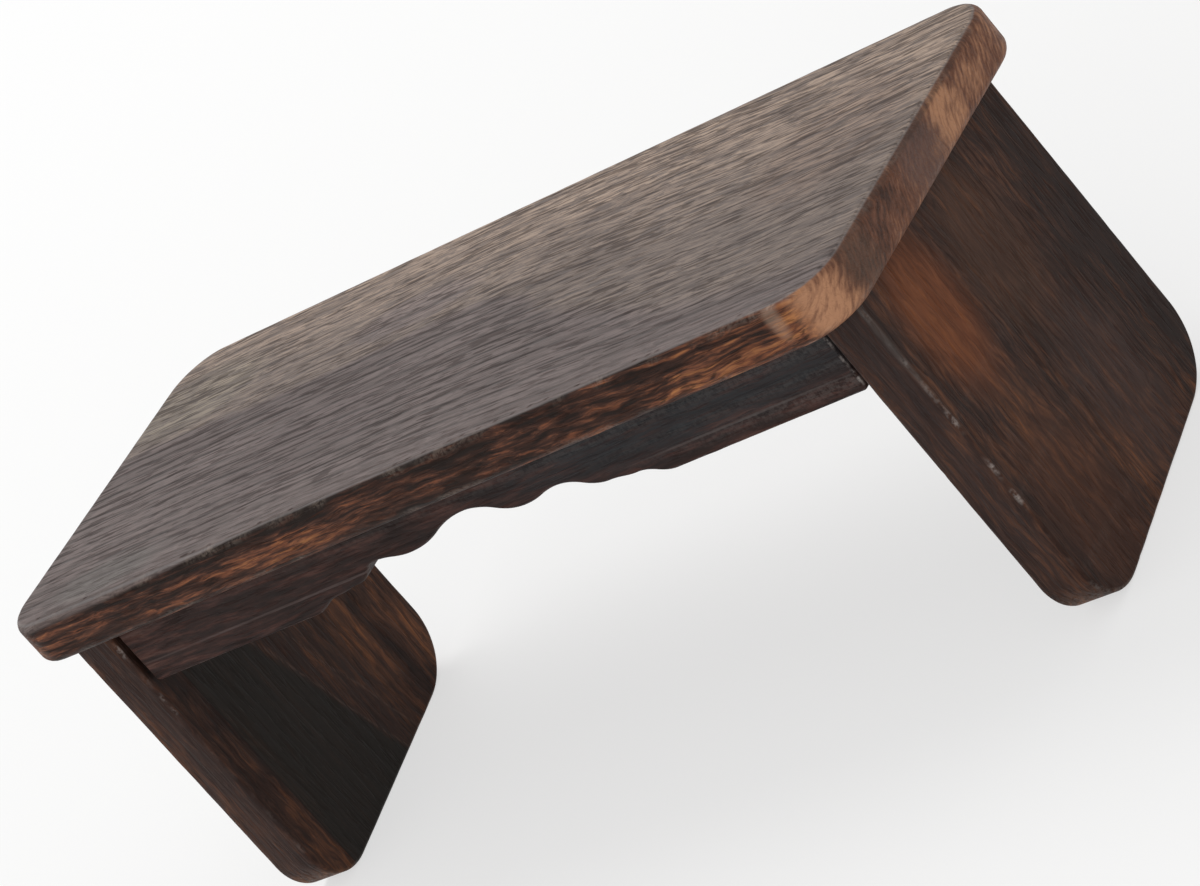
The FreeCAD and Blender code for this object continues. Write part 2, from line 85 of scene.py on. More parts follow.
def mixTint(tree, factor, under, over):
    node = put(tree, "ShaderNodeMix", data_type="RGBA")
    for socket, value in ((node.inputs[0], factor), (node.inputs[6], under), (node.inputs[7], over)):
        if isinstance(value, bpy.types.NodeSocket):
            tree.links.new(value, socket)
        else:
            socket.default_value = value
    return node.outputs[2]


def swayed(tree, base, value, amount):
    # the base moved up and down by a noise's value, which lies about 0.5
    return calc(tree, "MULTIPLY_ADD", calc(tree, "SUBTRACT", value, 0.5), amount, base)


def ramp(tree, value, stops):
    node = put(tree, "ShaderNodeValToRGB", {"Fac": value})
    elements = node.color_ramp.elements
    while len(elements) < len(stops):
        elements.new(0.5)
    for element, (place, colour) in zip(elements, stops):
        element.position = place
        element.color = colour
    return node.outputs["Color"]


def tint(code):
    # a colour as it shows on a screen, written as six hex digits, taken through the sRGB curve
    parts = [int(code[at:at + 2], 16) / 255 for at in (0, 2, 4)]
    return tuple(p / 12.92 if p <= 0.04045 else ((p + 0.055) / 1.055) ** 2.4 for p in parts) + (1.0,)


def painted(tree, colour, code, mask, share):
    # the colour with another laid over it, by the share where the mask is 1
    return mixTint(tree, calc(tree, "MULTIPLY", mask, share), colour, tint(code))


def noiseAt(tree, place, scale, detail, rough, seed):
    # noise of its own scale along each axis, in cycles per metre; its value lies about 0.5
    offset = (seed, seed * 1.7, seed * 0.6)
    moved = vectorCalc(tree, "ADD", vectorCalc(tree, "MULTIPLY", place, scale), offset)
    inputs = {"Vector": moved, "Scale": 1.0, "Detail": detail, "Roughness": rough}
    return put(tree, "ShaderNodeTexNoise", inputs).outputs["Fac"]


# Wood

# Places are in metres in the seat's frame. A board is cut from a log whose pith runs beside it, so the growth
# rings show as lines on one face and as arcs on its end. A stain is a patch where the figure is brighter or
# darker: its place, how far it reaches and how much. A shade is a patch of another colour: its place, how far
# it reaches, its colour and how much of it. A few stains and shades are painted sheen, highlight or shade, as
# said where they stand.
seatWood = {
    "name": "seat wood",
    "upright": False,
    "seed": 3.0,
    "pith": (0.52, -0.05),
    "ringWidth": 0.0064,
    "wander": 0.010,
    "curl": 0.0040,
    "grainScale": (38, 520, 520),
    "figure": ["1b100b", "351f17", "492e23", "734632", "b07548"],
    "end": ["412e27", "6e4a3a", "b08162"],
    "contrast": 1.50,
    "flecks": 0.75,
    "stains": [
        ((0.165, -0.085, 0.005), (0.045, 0.012, 0.010), 0.09),
        ((0.205, -0.078, 0.010), (0.016, 0.020, 0.016), 0.23),
        ((0.095, -0.085, 0.006), (0.016, 0.012, 0.007), 0.07),
        ((-0.080, -0.085, 0.008), (0.060, 0.012, 0.006), 0.05),
        ((-0.190, -0.085, 0.007), (0.030, 0.012, 0.006), 0.05),
        ((-0.100, -0.085, 0.018), (0.130, 0.012, 0.006), -0.18),
        ((-0.150, -0.085, 0.000), (0.070, 0.012, 0.003), -0.10),
        ((0.060, -0.085, 0.018), (0.090, 0.012, 0.006), -0.09),
        ((0.020, -0.085, 0.001), (0.080, 0.012, 0.005), -0.08),
        ((0.220, 0.022, 0.010), (0.006, 0.012, 0.012), 0.16),
        ((0.220, 0.055, 0.008), (0.006, 0.024, 0.012), 0.06),
    ],
    "shades": [
        ((0.1955, -0.085, 0.015), (0.0040, 0.006, 0.010), "b39a87", 0.36),
        ((0.220, -0.060, 0.010), (0.006, 0.012, 0.014), "5d4b40", 0.55),
        ((0.220, -0.002, 0.010), (0.006, 0.017, 0.014), "64504a", 0.75),
        ((0.220, 0.000, 0.0185), (0.006, 0.080, 0.0012), "4a3830", 0.60),
    ],
    "roughness": 0.50,
    "relief": 0.0005,
    "worn": "c9b5a6",
}
apronWood = {
    "name": "apron wood",
    "upright": False,
    "seed": 11.0,
    "pith": (0.22, 0.10),
    "ringWidth": 0.0050,
    "wander": 0.008,
    "curl": 0.0030,
    "grainScale": (34, 340, 340),
    "figure": ["180e0c", "231512", "301e1a", "472d27", "6a4d43"],
    "end": ["1f1514", "33231f", "59402f"],
    "contrast": 1.10,
    "flecks": 0.30,
    "stains": [((-0.160, -0.065, -0.016), (0.050, 0.010, 0.012), 0.06)],
    "shades": [
        # a painted blue-grey reflection along the apron's top, just under the seat
        ((0.120, -0.065, -0.012), (0.110, 0.006, 0.015), "282b2e", 0.80),
        ((-0.080, -0.065, -0.0235), (0.130, 0.004, 0.0006), "5f504d", 0.55),
        ((0.140, -0.065, -0.0245), (0.060, 0.004, 0.0006), "625956", 0.45),
    ],
    "roughness": 0.46,
    "relief": 0.0004,
    "worn": "a59c97",
}
legWood = {
    "name": "leg wood",
    "upright": True,
    "seed": 23.0,
    "pith": (0.05, 0.16),
    "ringWidth": 0.0060,
    "wander": 0.010,
    "curl": 0.0070,
    "grainScale": (40, 380, 380),
    "figure": ["190f0c", "2c1b15", "3f2920", "5f3d2b", "985f39"],
    "end": ["241711", "4a3022", "7a5034"],
    "contrast": 0.85,
    "flecks": 0.45,
    # on the left leg alone: the strip in front of the joint comes from another board, and behind the joint
    # the inner face has a smooth dark panel up to a slanted border, with thin pale lines along that border
    "joint": -0.051,
    "seam": (0.0001, 0.0006, 0.7, 0.0),
    "panel": {
        "inner": -0.1935, "border": (-0.0290, -0.271), "waver": 0.016, "softness": (-0.003, 0.001),
        "colour": "1e1b18", "share": 0.88,
        "lines": (0.0, 0.0130), "lineWidth": 0.0010, "lineBreaks": (0.40, 0.60, 0.0, 0.6), "pale": "54443d",
    },
    "stains": [
        ((0.212, -0.037, -0.026), (0.008, 0.012, 0.030), 0.17),
        ((0.212, -0.036, -0.095), (0.008, 0.014, 0.040), 0.06),
        ((0.212, -0.010, -0.130), (0.008, 0.020, 0.030), 0.03),
        # painted shade: darker along the back of the right leg's outer face
        ((0.212, 0.052, -0.070), (0.008, 0.010, 0.090), -0.08),
        ((-0.192, 0.028, -0.092), (0.008, 0.009, 0.030), 0.12),
        ((-0.192, 0.050, -0.105), (0.008, 0.010, 0.030), 0.08),
    ],
    "shades": [
        ((0.212, -0.038, -0.026), (0.006, 0.019, 0.038), "8c4a20", 0.42),
        ((0.212, -0.040, -0.115), (0.006, 0.024, 0.045), "4a2b1c", 0.50),
        ((0.212, 0.005, -0.035), (0.006, 0.022, 0.040), "553a2b", 0.45),
        ((0.212, 0.012, -0.105), (0.006, 0.022, 0.045), "43332f", 0.60),
        # painted shade along the back of the right leg's outer face
        ((0.212, 0.050, -0.075), (0.006, 0.019, 0.100), "241916", 0.85),
        ((-0.192, 0.000, -0.095), (0.006, 0.030, 0.085), "2c201d", 0.75),
        ((0.202, -0.067, -0.050), (0.012, 0.004, 0.090), "352a28", 0.60),
        ((-0.202, -0.067, -0.070), (0.012, 0.004, 0.110), "382b28", 0.60),
        # a pale line down the right leg's front outer arris: partly rubbed wear, partly a painted highlight
        ((0.212, -0.0668, -0.010), (0.0022, 0.0016, 0.040), "6b6460", 0.35),
    ],
    "roughness": 0.48,
    "relief": 0.0004,
    "worn": "a59c97",
}
railWood = {
    "name": "rail wood",
    "upright": False,
    "seed": 31.0,
    "pith": (0.12, -0.10),
    "ringWidth": 0.0045,
    "wander": 0.006,
    "curl": 0.0015,
    "grainScale": (40, 480, 480),
    "figure": ["1d1411", "38251c", "4a3226", "5d3f2e", "80583b"],
    "end": ["2a1c15", "4d3527", "785236"],
    "contrast": 1.0,
    "flecks": 0.40,
    "stains": [],
    "shades": [],
    "roughness": 0.60,
    "relief": 0.0004,
    "worn": "a59c97",
}
dowelWood = {
    **railWood,
    "name": "dowel wood",
    "seed": 41.0,
    "figure": ["6a4a30", "93704c", "b08d66", "c4a37c", "d6ba95"],
    "end": ["8a6644", "b08d66", "ceb28c"],
    "roughness": 0.65,
}
# where the left leg's front strip is taken from
otherBoard = (0.5, 0, 0)
# where the figure's colours stand on its scale, and the ends' colours on theirs
figureStops = (0.24, 0.40, 0.52, 0.66, 0.92)
endStops = (0.34, 0.52, 0.72)
# how far each layer of the grain moves the figure, and how much the growth lines darken it
figureShares = {"blotches": 0.55, "fibres": 0.25, "rays": 0.55, "lines": 0.35}
# how fine the bends are that the grain follows, in cycles per metre along and across it
bends = {"slow": (4, 16, 16), "wander": (7, 34, 34), "curl": (50, 150, 150)}
# the layers of the grain: cycles per metre along and across it, detail, roughness, and what is added to the
# board's seed
grainLayers = {
    "ripple": ((12, 70, 70), 3.0, 0.55, 5),
    "gaps": ((20, 130, 130), 2.0, 0.5, 6),
    "crowd": ((6, 60, 60), 2.0, 0.5, 12),
    "pores": ((62, 800, 800), 2.0, 0.45, 3),
    "flecks": ((80, 860, 860), 2.0, 0.5, 8),
    "fibres": ((60, 1200, 1200), 3.0, 0.6, 1),
    "streaks": ((12, 150, 150), 3.0, 0.6, 2),
    "blotches": ((9, 42, 42), 2.0, 0.5, 7),
    "rays": ((60, 700, 170), 3.0, 0.55, 10),
}
# where dashes and flecks turn on, how much the pores crowd together, how the rays are turned, how much of the
# board's wander the growth lines follow, what counts as an end, and the figure's own detail and roughness
grainForm = {
    "dashes": (0.385, 0.455), "crowding": 0.30, "flecks": (0.54, 0.68), "rayTurn": 0.65, "slowShare": 0.7,
    "endFacing": (0.12, 0.55), "figure": (4.0, 0.62),
}
# the growth lines: how little a ring changes along the board, how much it ripples for its width, where its
# dark line rises and falls, and how gaps and pores break that line
growth = {
    "stretch": 0.01, "ripple": 1.1, "rise": (0.56, 0.82), "fall": (0.86, 1.0, 1.0, 0.0),
    "gaps": (0.34, 0.56, 0.55, 1.0), "pores": (0.34, 0.52, 0.65, 1.0),
}
# how stains and shades fade out, and how the fibres break a shade
patchEdge = (0.45, 1.25)
shadeEdge = (0.36, 0.64)
shadeLeast = 0.55
# how much each layer lifts or sinks the surface, and how the bare wood shines
reliefShares = {"lines": -0.50, "dashes": -0.55, "fibres": 0.50}
reliefStrength = 0.6
woodShine = {"specular": 0.12, "smoother": 0.08, "rougher": 0.12, "dashes": 0.15}
# how the wood shows through its wear: the noise's cycles per metre, detail, roughness and seed, and its edge
wearGrain = {"noise": ((600, 600, 600), 3.0, 0.6, 5.0), "edge": (0.36, 0.62)}


def seatFramePlace(tree):
    # the shading point in the seat's frame, whichever body carries it
    turn = Matrix.Rotation(stand["slant"], 3, "X")
    shift = turn @ Vector((0, stand["forward"], -stand["undersideHeight"]))
    coords = put(tree, "ShaderNodeTexCoord").outputs["Object"]
    inputs = {"Vector": coords, "Location": shift, "Rotation": (stand["slant"], 0, 0)}
    return put(tree, "ShaderNodeMapping", inputs, vector_type="POINT").outputs["Vector"]


def alongGrain(tree, place, upright):
    # x with the grain: an upright board's grain runs down its z
    if not upright:
        return place
    inputs = {"Vector": place, "Rotation": (0, math.pi / 2, 0)}
    return put(tree, "ShaderNodeMapping", inputs).outputs["Vector"]


def endOf(tree, upright):
    # 1 where the surface cuts across the grain
    faced = put(tree, "ShaderNodeTexCoord").outputs["Normal"]
    parts = put(tree, "ShaderNodeSeparateXYZ", {"Vector": faced}).outputs
    across = calc(tree, "ABSOLUTE", parts["Z" if upright else "X"])
    return grade(tree, across, *grainForm["endFacing"])


def bent(tree, grainPlace, scale, reach, seed):
    # the place moved sideways by slow noise, so that the grain wanders
    offset = (seed, seed * 0.7, seed * 1.3)
    moved = vectorCalc(tree, "ADD", vectorCalc(tree, "MULTIPLY", grainPlace, scale), offset)
    inputs = {"Vector": moved, "Scale": 1.0, "Detail": 2.0, "Roughness": 0.5}
    noisy = put(tree, "ShaderNodeTexNoise", inputs).outputs["Color"]
    push = vectorCalc(tree, "SUBTRACT", noisy, (0.5, 0.5, 0.5))
    return vectorCalc(tree, "ADD", grainPlace, vectorCalc(tree, "MULTIPLY", push, (0, reach, reach)))


def layerOf(tree, name, place, look):
    scale, detail, rough, step = grainLayers[name]
    return noiseAt(tree, place, scale, detail, rough, look["seed"] + step)


def growthLines(tree, grainPlace, look, pores):
    # 0 in the spring wood, 1 in the thin dark lines of summer wood, rows of pores that run the whole board
    stretched = vectorCalc(tree, "MULTIPLY", grainPlace, (growth["stretch"], 1, 1))
    radius = vectorCalc(tree, "LENGTH", vectorCalc(tree, "SUBTRACT", stretched, (0, *look["pith"])))
    ripple = layerOf(tree, "ripple", grainPlace, look)
    uneven = swayed(tree, radius, ripple, growth["ripple"] * look["ringWidth"])
    phase = calc(tree, "FRACT", calc(tree, "DIVIDE", uneven, look["ringWidth"]))
    line = calc(tree, "MULTIPLY", grade(tree, phase, *growth["rise"]), grade(tree, phase, *growth["fall"]))
    broken = grade(tree, layerOf(tree, "gaps", grainPlace, look), *growth["gaps"])
    rows = calc(tree, "MULTIPLY", line, broken)
    return calc(tree, "MULTIPLY", rows, grade(tree, pores, *growth["pores"]))


def grainOf(tree, place, look):
    # the maps that colour and relief share
    seed = look["seed"]
    grainPlace = alongGrain(tree, place, look["upright"])
    slow = bent(tree, grainPlace, bends["slow"], look["wander"] * grainForm["slowShare"], seed)
    wandering = bent(tree, grainPlace, bends["wander"], look["wander"], seed)
    curly = bent(tree, wandering, bends["curl"], look["curl"], seed + 9)
    tilt = {"Vector": wandering, "Rotation": (grainForm["rayTurn"], 0, 0)}
    slanted = put(tree, "ShaderNodeMapping", tilt).outputs["Vector"]
    crowd = calc(tree, "MULTIPLY", layerOf(tree, "crowd", grainPlace, look), grainForm["crowding"])
    pores = layerOf(tree, "pores", wandering, look)
    return {
        "lines": growthLines(tree, slow, look, pores),
        "dashes": grade(tree, calc(tree, "SUBTRACT", pores, crowd), *grainForm["dashes"]),
        "flecks": grade(tree, layerOf(tree, "flecks", curly, look), *grainForm["flecks"]),
        "fibres": layerOf(tree, "fibres", curly, look),
        "streaks": layerOf(tree, "streaks", wandering, look),
        "figure": noiseAt(tree, curly, look["grainScale"], *grainForm["figure"], seed + 4),
        "blotches": layerOf(tree, "blotches", wandering, look),
        "rays": layerOf(tree, "rays", slanted, look),
        "end": endOf(tree, look["upright"]),
    }


def nearTo(tree, place, centre, reach):
    # 1 at the centre of a patch, easing to 0 past its reach
    away = vectorCalc(tree, "DIVIDE", vectorCalc(tree, "SUBTRACT", place, centre), reach)
    return grade(tree, vectorCalc(tree, "LENGTH", away), *patchEdge, 1.0, 0.0)


def stained(tree, place, look):
    # how much brighter or darker the figure is made round each stain
    total = 0.0
    for centre, reach, strength in look["stains"]:
        total = calc(tree, "MULTIPLY_ADD", nearTo(tree, place, centre, reach), strength, total)
    return total


def shaded(tree, colour, place, grain, look):
    # patches of another colour, broken by the fibres; a few are painted sheen, highlight or shade
    for centre, reach, code, share in look["shades"]:
        uneven = grade(tree, grain["fibres"], *shadeEdge, share, share * shadeLeast)
        colour = painted(tree, colour, code, nearTo(tree, place, centre, reach), uneven)
    return colour


def darkPanel(tree, colour, place, grain, look):
    panel = look["panel"]
    x, y, z = put(tree, "ShaderNodeSeparateXYZ", {"Vector": place}).outputs
    start, slope = panel["border"]
    wavy = swayed(tree, y, grain["blotches"], panel["waver"])
    past = calc(tree, "SUBTRACT", wavy, calc(tree, "MULTIPLY_ADD", z, slope, start))
    onLeft = calc(tree, "LESS_THAN", x, 0.0)
    onFace = calc(tree, "MULTIPLY", onLeft, calc(tree, "GREATER_THAN", x, panel["inner"]))
    inside = calc(tree, "MULTIPLY", onFace, calc(tree, "GREATER_THAN", y, look["joint"]))
    dark = grade(tree, past, *panel["softness"], panel["share"], 0.0)
    colour = painted(tree, colour, panel["colour"], inside, dark)
    broken = grade(tree, grain["fibres"], *panel["lineBreaks"])
    for offset in panel["lines"]:
        away = calc(tree, "ABSOLUTE", calc(tree, "SUBTRACT", past, offset))
        pale = calc(tree, "MULTIPLY", broken, grade(tree, away, 0.0, panel["lineWidth"], 1.0, 0.0))
        colour = painted(tree, colour, panel["pale"], inside, pale)
    return colour


def figureColour(tree, place, look, grain):
    # dark wood with orange figure: fine streaks, gathered in broad blotches, and rays where it is cut across
    darkest = look["figure"][0]
    patch = swayed(tree, 0.5, grain["blotches"], figureShares["blotches"])
    patch = calc(tree, "ADD", patch, stained(tree, place, look))
    value = swayed(tree, patch, grain["figure"], look["contrast"])
    value = swayed(tree, value, grain["fibres"], figureShares["fibres"])
    colour = ramp(tree, value, [(at, tint(code)) for at, code in zip(figureStops, look["figure"])])
    colour = painted(tree, colour, darkest, grain["lines"], figureShares["lines"])
    colour = painted(tree, colour, darkest, grain["flecks"], look["flecks"])
    across = swayed(tree, patch, grain["rays"], figureShares["rays"])
    ends = ramp(tree, across, [(at, tint(code)) for at, code in zip(endStops, look["end"])])
    colour = mixTint(tree, grain["end"], colour, ends)
    return shaded(tree, colour, place, grain, look)


def worn(tree, colour, place, look):
    # nicks and rubbed edges, which the plank's mesh marks
    mark = put(tree, "ShaderNodeAttribute", attribute_name="wear").outputs["Fac"]
    broken = grade(tree, noiseAt(tree, place, *wearGrain["noise"]), *wearGrain["edge"])
    return mixTint(tree, calc(tree, "MULTIPLY", mark, broken, clamp=True), colour, tint(look["worn"]))


def woodRelief(tree, grain, look):
    height = 0.0
    for name, share in reliefShares.items():
        height = calc(tree, "MULTIPLY_ADD", grain[name], share, height)
    inputs = {"Height": height, "Distance": look["relief"], "Strength": reliefStrength}
    return put(tree, "ShaderNodeBump", inputs).outputs["Normal"]


def newMaterial(name):
    material = bpy.data.materials.new(name)
    material.use_nodes = True
    material.node_tree.nodes.clear()
    return material, material.node_tree


def finish(tree, inputs):
    shader = put(tree, "ShaderNodeBsdfPrincipled", inputs)
    put(tree, "ShaderNodeOutputMaterial", {"Surface": shader.outputs["BSDF"]})


def finishWood(tree, look, colour, grain):
    low, high = look["roughness"] - woodShine["smoother"], look["roughness"] + woodShine["rougher"]
    roughness = grade(tree, grain["fibres"], 0.2, 0.8, low, high)
    roughness = calc(tree, "MULTIPLY_ADD", grain["dashes"], woodShine["dashes"], roughness)
    finish(tree, {
        "Base Color": colour, "Roughness": roughness, "Normal": woodRelief(tree, grain, look),
        "Specular IOR Level": woodShine["specular"],
    })


def boardWood(look):
    material, tree = newMaterial(look["name"])
    place = seatFramePlace(tree)
    fromBoard = place
    if "joint" in look:
        x, y, _ = put(tree, "ShaderNodeSeparateXYZ", {"Vector": place}).outputs
        onLeft = calc(tree, "LESS_THAN", x, 0.0)
        inFront = calc(tree, "MULTIPLY", onLeft, calc(tree, "LESS_THAN", y, look["joint"]))
        step = put(tree, "ShaderNodeVectorMath", {0: otherBoard, "Scale": inFront}, operation="SCALE")
        fromBoard = vectorCalc(tree, "ADD", place, step.outputs["Vector"])
    grain = grainOf(tree, fromBoard, look)
    colour = figureColour(tree, place, look, grain)
    if "joint" in look:
        colour = darkPanel(tree, colour, place, grain, look)
        off = calc(tree, "ABSOLUTE", calc(tree, "SUBTRACT", y, look["joint"]))
        colour = painted(tree, colour, look["figure"][0], onLeft, grade(tree, off, *look["seam"]))
    colour = worn(tree, colour, place, look)
    finishWood(tree, look, colour, grain)
    return material


# The seat's grey top is a painted sheen over partly weathered wood: cool, darker and lined in front of a
# border, warm and paler behind it, and painted paler still towards the back right. The border crosses the
# left half level and then swings to the front, and the grain leans a little with it. A pair gives the places
# or the amounts at the two ends of a change.
topSheenAndGrain = {
    # how high on the rim the painted grey sheen starts and where it is full: higher up to the right
    "start": (0.0158, 0.0190), "full": (0.0182, 0.0197), "startAt": (-0.19, -0.06),
    "border": (0.0190, -0.064), "swing": (-0.03, 0.175), "softness": (0.0014, 0.0120), "waver": 0.02,
    "leanAt": (0.0, 0.16), "lean": 0.010,
    # the tones of the painted grey sheen; back is painted sheen, paler towards the back right
    "cool": "786b68", "warm": "8a7b71", "back": "b39d8c", "backSlope": 0.13, "backAt": (0.0, 0.085),
    "shade": "4d423f", "mottle": 0.45, "mottleAt": (0.56, 0.34), "fineDepth": 0.75, "fineAt": (0.40, 0.58),
    # the lines and dashes are fainter along the front edge
    "line": "302624", "lineDepth": (0.95, 0.35), "dashDepth": 0.55, "frontFade": (-0.084, -0.060, 0.35, 1.0),
    "rim": "858180", "rimShare": 0.45, "rimFrom": (0.0186, 0.0192), "rimTo": (0.0194, 0.0199),
    "patches": [
        ((-0.150, 0.007, 0.020), (0.140, 0.012, 0.010), "5c504e", 0.50),
        ((-0.190, 0.045, 0.020), (0.045, 0.024, 0.010), "9d9584", 0.45),
        ((-0.055, 0.036, 0.020), (0.040, 0.014, 0.010), "7d7175", 0.45),
        ((-0.165, -0.070, 0.020), (0.035, 0.012, 0.010), "68706a", 0.35),
        ((-0.070, -0.030, 0.020), (0.060, 0.030, 0.010), "5c4f4f", 0.35),
        ((0.175, 0.020, 0.020), (0.040, 0.040, 0.010), "8b7365", 0.40),
    ],
}


def seatTopWood(look):
    # the seat: its top is painted a grey sheen over partly weathered wood, its edges keep the reddish brown
    material, tree = newMaterial(look["name"])
    place = seatFramePlace(tree)
    x, y, z = put(tree, "ShaderNodeSeparateXYZ", {"Vector": place}).outputs
    leaning = grade(tree, x, *topSheenAndGrain["leanAt"], 0.0, topSheenAndGrain["lean"])
    lean = put(tree, "ShaderNodeCombineXYZ", {"Y": leaning})
    grain = grainOf(tree, vectorCalc(tree, "ADD", place, lean.outputs["Vector"]), look)
    border = grade(tree, x, *topSheenAndGrain["swing"], *topSheenAndGrain["border"])
    uneven = swayed(tree, y, grain["blotches"], topSheenAndGrain["waver"])
    behind = calc(tree, "SUBTRACT", uneven, border)
    softness = grade(tree, x, *topSheenAndGrain["swing"], *topSheenAndGrain["softness"])
    warmth = grade(tree, calc(tree, "DIVIDE", behind, softness), -1.0, 1.0)
    colour = mixTint(tree, warmth, tint(topSheenAndGrain["cool"]), tint(topSheenAndGrain["warm"]))
    # painted sheen: the top is paler towards the back right
    toBack = calc(tree, "MULTIPLY_ADD", x, topSheenAndGrain["backSlope"], uneven)
    colour = mixTint(tree, grade(tree, toBack, *topSheenAndGrain["backAt"]), colour, tint(topSheenAndGrain["back"]))
    for centre, reach, code, share in topSheenAndGrain["patches"]:
        near = grade(tree, nearTo(tree, place, centre, reach), 0.0, 1.0, 0.0, share)
        colour = mixTint(tree, near, colour, tint(code))
    mottle = grade(tree, grain["streaks"], *topSheenAndGrain["mottleAt"], 0.0, topSheenAndGrain["mottle"])
    colour = mixTint(tree, mottle, colour, tint(topSheenAndGrain["shade"]))
    fine = grade(tree, grain["fibres"], *topSheenAndGrain["fineAt"], topSheenAndGrain["fineDepth"], 0.0)
    colour = mixTint(tree, fine, colour, tint(topSheenAndGrain["shade"]))
    fading = grade(tree, y, *topSheenAndGrain["frontFade"])
    lined = calc(tree, "MULTIPLY", fading, grade(tree, warmth, 0.0, 1.0, *topSheenAndGrain["lineDepth"]))
    colour = painted(tree, colour, topSheenAndGrain["line"], grain["lines"], lined)
    dashed = calc(tree, "MULTIPLY", fading, topSheenAndGrain["dashDepth"])
    colour = painted(tree, colour, topSheenAndGrain["line"], grain["dashes"], dashed)
    overRim = grade(tree, z, *topSheenAndGrain["rimTo"], 1.0, 0.0)
    onRim = calc(tree, "MULTIPLY", grade(tree, z, *topSheenAndGrain["rimFrom"]), overRim)
    colour = painted(tree, colour, topSheenAndGrain["rim"], onRim, topSheenAndGrain["rimShare"])
    start = grade(tree, x, *topSheenAndGrain["startAt"], *topSheenAndGrain["start"])
    full = grade(tree, x, *topSheenAndGrain["startAt"], *topSheenAndGrain["full"])
    onTop = grade(tree, z, start, full)
    # the painted grey sheen covers the top, and the edges keep the figure
    colour = mixTint(tree, onTop, figureColour(tree, place, look, grain), colour)
    colour = worn(tree, colour, place, look)
    finishWood(tree, look, colour, grain)
    return material


# Metal

hingeMetal = {"name": "hinge brass", "clean": "8f7443", "aged": "54442b", "roughness": 0.36}
screwBrass = {"name": "screw brass", "clean": "a58a4e", "aged": "5a4827", "roughness": 0.30}
screwSteel = {"name": "screw steel", "clean": "8f8e8b", "aged": "55524e", "roughness": 0.34}
pinMetal = {"name": "pin steel", "clean": "8b8a88", "aged": "4f4d4a", "roughness": 0.30}
# the noise of the strokes and of the stains: cycles per metre, detail, roughness and seed
metalGrain = {
    "strokes": ((180, 2600, 180), 2.0, 0.6, 2.0), "strokeEdge": (0.3, 0.7, 0.0, 0.25),
    "strokeDepth": 0.00004, "strokeStrength": 0.5,
    "stains": ((70, 70, 70), 4.0, 0.65, 7.0), "stainEdge": (0.42, 0.66), "stainRougher": 0.25,
}


def brushedMetal(look):
    material, tree = newMaterial(look["name"])
    place = seatFramePlace(tree)
    strokes = noiseAt(tree, place, *metalGrain["strokes"])
    stains = grade(tree, noiseAt(tree, place, *metalGrain["stains"]), *metalGrain["stainEdge"])
    colour = mixTint(tree, stains, tint(look["clean"]), tint(look["aged"]))
    stroked = grade(tree, strokes, *metalGrain["strokeEdge"])
    colour = mixTint(tree, stroked, colour, tint(look["aged"]))
    roughest = look["roughness"] + metalGrain["stainRougher"]
    roughness = grade(tree, stains, 0.0, 1.0, look["roughness"], roughest)
    brushing = {
        "Height": strokes, "Distance": metalGrain["strokeDepth"], "Strength": metalGrain["strokeStrength"],
    }
    normal = put(tree, "ShaderNodeBump", brushing).outputs["Normal"]
    finish(tree, {"Base Color": colour, "Metallic": 1.0, "Roughness": roughness, "Normal": normal})
    return material


# Planks


def roundedLoop(corners, step):
    # a closed outline through corners (u, v, radius), counter-clockwise, cut into even steps
    loop = []
    for index, (u, v, radius) in enumerate(corners):
        here = Vector((u, v))
        before = (Vector(corners[index - 1][:2]) - here).normalized()
        after = (Vector(corners[(index + 1) % len(corners)][:2]) - here).normalized()
        if not radius:
            loop.append(here)
            continue
        half = before.angle(after) / 2
        centre = here + (before + after).normalized() * radius / math.sin(half)
        first = here + before * radius / math.tan(half) - centre
        sweep = math.pi - 2 * half
        count = max(3, math.ceil(sweep * radius / step))
        for k in range(count + 1):
            turned = first.copy()
            turned.rotate(Matrix.Rotation(sweep * k / count, 2))
            loop.append(centre + turned)
    return evenSteps(loop, step)


def evenSteps(loop, step):
    # more points on long straight runs
    fine = []
    for here, following in zip(loop, loop[1:] + loop[:1]):
        count = max(1, round((following - here).length / step))
        fine += [here.lerp(following, k / count) for k in range(count)]
    return fine


# the way out of a corner is lengthened up to one over this
mitreLimit = 0.4


def outwards(loop):
    # the way out of the outline at each of its points, with its length kept true at corners
    ways = []
    for index, here in enumerate(loop):
        before = (here - loop[index - 1]).normalized()
        after = (loop[(index + 1) % len(loop)] - here).normalized()
        way = Vector((before.y + after.y, -before.x - after.x)).normalized()
        ways.append(way / max(mitreLimit, way.dot(Vector((before.y, -before.x)))))
    return ways


def nicksAlong(loop, thickness, look):
    # small dents along both rims, long in the rim's direction: those that the look names, then some by chance
    chance = random.Random(look["seed"])
    chosen = [(Vector(at), length, depth) for at, length, depth in look["named"]]
    for _ in range(look["count"]):
        at = chance.choice(loop)
        side = chance.choice((0.0, thickness))
        length = chance.uniform(*look["length"])
        chosen.append((Vector((at.x, at.y, side)), length, chance.uniform(*look["depth"])))
    nicks = []
    for at, length, depth in chosen:
        nearest = min(range(len(loop)), key=lambda k: (loop[k] - at.xy).length)
        way = (loop[(nearest + 1) % len(loop)] - loop[nearest - 1]).normalized()
        nicks.append((at, Vector((way.x, way.y, 0)), length, depth))
    return nicks


# a dent is this wide, and wider by a share of its length
dentWidth = 0.0008
dentSpread = 0.25


def dentAt(point, nicks):
    # how deep the wood is dented at a point of the rim
    deep = 0.0
    for at, way, length, depth in nicks:
        away = point - at
        along = away.dot(way)
        across = (away - way * along).length
        reach = math.hypot(along / length, across / (dentWidth + dentSpread * length))
        if reach < 1:
            deep = max(deep, depth * (1 - reach * reach) ** 2)
    return deep


# how far the wear goes down for each step inwards, and what a dent keeps away from the rim's crest
rimSlant = 0.8
dentBeside = 0.2
# rubbed wood shows pale where its doubled unevenness is above this
rubStart = 0.9


